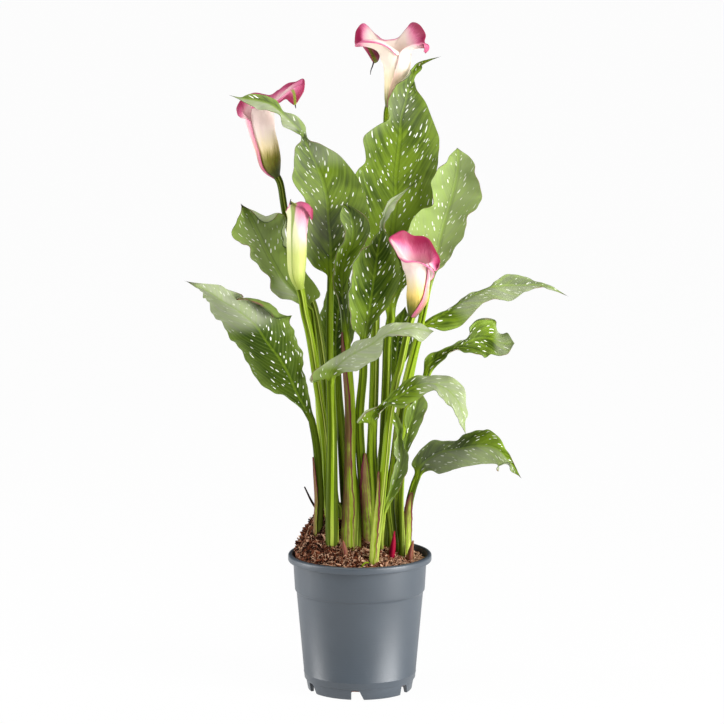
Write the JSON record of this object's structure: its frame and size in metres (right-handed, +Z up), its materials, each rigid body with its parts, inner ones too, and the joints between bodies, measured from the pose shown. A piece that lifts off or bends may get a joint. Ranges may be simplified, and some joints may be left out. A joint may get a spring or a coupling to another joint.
{
  "type": "potted calla lily",
  "caption": "Flowering calla lily plant with spotted leaves and pink funnel flowers, growing in a round tapered nursery pot filled with coarse potting soil.",
  "frame": {"origin": "on the surface that the pot stands on, under the middle of the whole plant's box; the pot's axis stands at x -0.0205, y 0.008", "axes": "+Z up along the pot's axis; the plant's front faces -Y; +X to the right seen from the front"},
  "size_m": [0.343, 0.208, 0.6009],
  "materials": {
    "pot_plastic": "satin",
    "soil": "matte",
    "leaf": "satin",
    "stem": "satin",
    "spathe": "satin",
    "spadix": "matte",
    "sheath": "matte",
    "sprout": "satin",
    "dry_stick": "matte"
  },
  "bodies": {
    "root": {"pot": "pot_plastic", "potting_soil": "soil", "leaf_back_left": "leaf", "leaf_back_right": "leaf", "leaf_centre_front": "leaf", "leaf_centre_hood": "leaf", "leaf_front_bent": "leaf", "leaf_front_right": "leaf", "leaf_lower_left": "leaf", "leaf_mid_left": "leaf", "leaf_narrow_rolled": "leaf", "leaf_right_long": "leaf", "leaf_right_low": "leaf", "leaf_right_rounded": "leaf", "leaf_small_right": "leaf", "leaf_top": "leaf", "leaf_upper_left": "leaf", "leaf_upper_right": "leaf", "scape_bud": "stem", "scape_left": "stem", "scape_right": "stem", "scape_top": "stem", "spathe_bud": "spathe", "spathe_left": "spathe", "spathe_right": "spathe", "spathe_top": "spathe", "spadix_left": "spadix", "spadix_right": "spadix", "spadix_top": "spadix", "sheath_centre": "sheath", "sheath_centre_back": "sheath", "sheath_left": "sheath", "sheath_right": "sheath", "sheath_right_flower": "sheath", "sprout_papery": "sheath", "sprout_purple": "sheath", "sprout_crimson": "sprout", "dry_stick": "dry_stick"}
  },
  "joints": []
}
